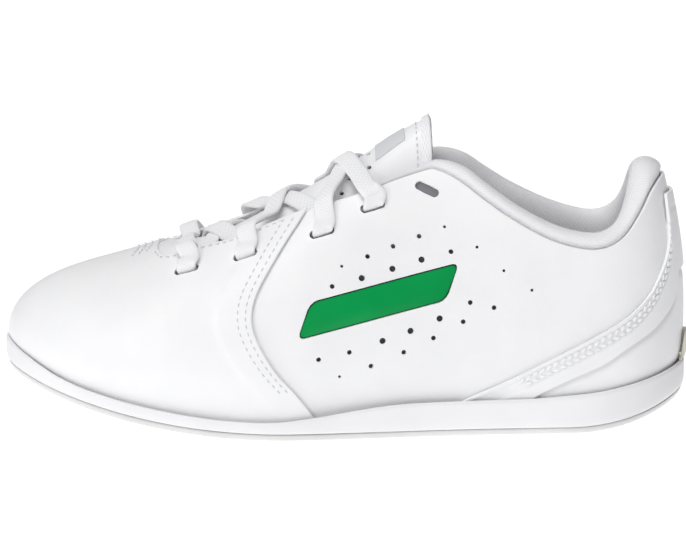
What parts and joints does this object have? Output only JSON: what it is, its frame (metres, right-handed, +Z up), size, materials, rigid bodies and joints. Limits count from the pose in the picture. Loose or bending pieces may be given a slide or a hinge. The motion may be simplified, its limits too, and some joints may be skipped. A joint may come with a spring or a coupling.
{
  "type": "cheer shoe",
  "caption": "Low-cut lace-up cheer shoe: leather upper on a thin cupped sole, padded collar and tongue, flat lace, slide-in colour insert in the outer side.",
  "frame": {"origin": "middle of the shoe's box, on the ground under the outsole", "axes": "+X towards the heel, +Y towards the inner side of a left foot, +Z up; the toe points along -X and the coloured insert faces -Y"},
  "size_m": [0.2284, 0.0838, 0.1017],
  "materials": {
    "white_leather": "fine grain, satin",
    "overlay_leather": "fine grain, satin",
    "stiffener_board": "matt",
    "lining_fabric": "brushed knit",
    "collar_knit": "knitted",
    "soft_foam": "open cell",
    "tongue_leather": "fine grain, satin",
    "label_rubber": "matt",
    "green_insert": "gloss",
    "outsole_rubber": "satin",
    "midsole_foam": "satin",
    "insole_board": "matt",
    "insole_knit": "brushed knit",
    "heel_tab_rubber": "satin",
    "lace_cotton": "flat weave",
    "aglet_plastic": "gloss"
  },
  "bodies": {
    "shoe": {"vamp": "white_leather", "quarter_lateral": "white_leather", "quarter_medial": "white_leather", "heel_band": "overlay_leather", "heel_cup": "overlay_leather", "toe_puff": "stiffener_board", "heel_counter": "stiffener_board", "eyestay_lateral": "stiffener_board", "eyestay_medial": "stiffener_board", "bar_backing": "stiffener_board", "vamp_lining": "lining_fabric", "lining_lateral": "lining_fabric", "lining_medial": "lining_fabric", "outsole": "outsole_rubber", "midsole": "midsole_foam", "strobel_board": "insole_board", "sockliner": "insole_knit", "heel_tab": "heel_tab_rubber", "collar_lining": "collar_knit", "collar_foam": "soft_foam", "lace_tail_lateral": "lace_cotton", "aglet_lateral": "aglet_plastic", "lace_tail_medial": "lace_cotton", "aglet_medial": "aglet_plastic", "shoelace": "lace_cotton"},
    "tongue": {"tongue_shell": "tongue_leather", "tongue_foam": "soft_foam", "tongue_lining": "collar_knit", "tongue_patch": "label_rubber"},
    "colour_bar": {"colour_bar": "green_insert"}
  },
  "joints": [
    {"name": "tongue_base", "type": "hinge", "parent": "shoe", "child": "tongue", "pos_m": [-0.073, 0, 0.05], "axis": [0, 1, 0], "range_deg": [0, 12], "stiffness_Nm_per_rad": 0.15},
    {"name": "insert_slide", "type": "slide", "parent": "shoe", "child": "colour_bar", "axis": [0, -1, 0], "range_m": [0, 0.012]}
  ]
}
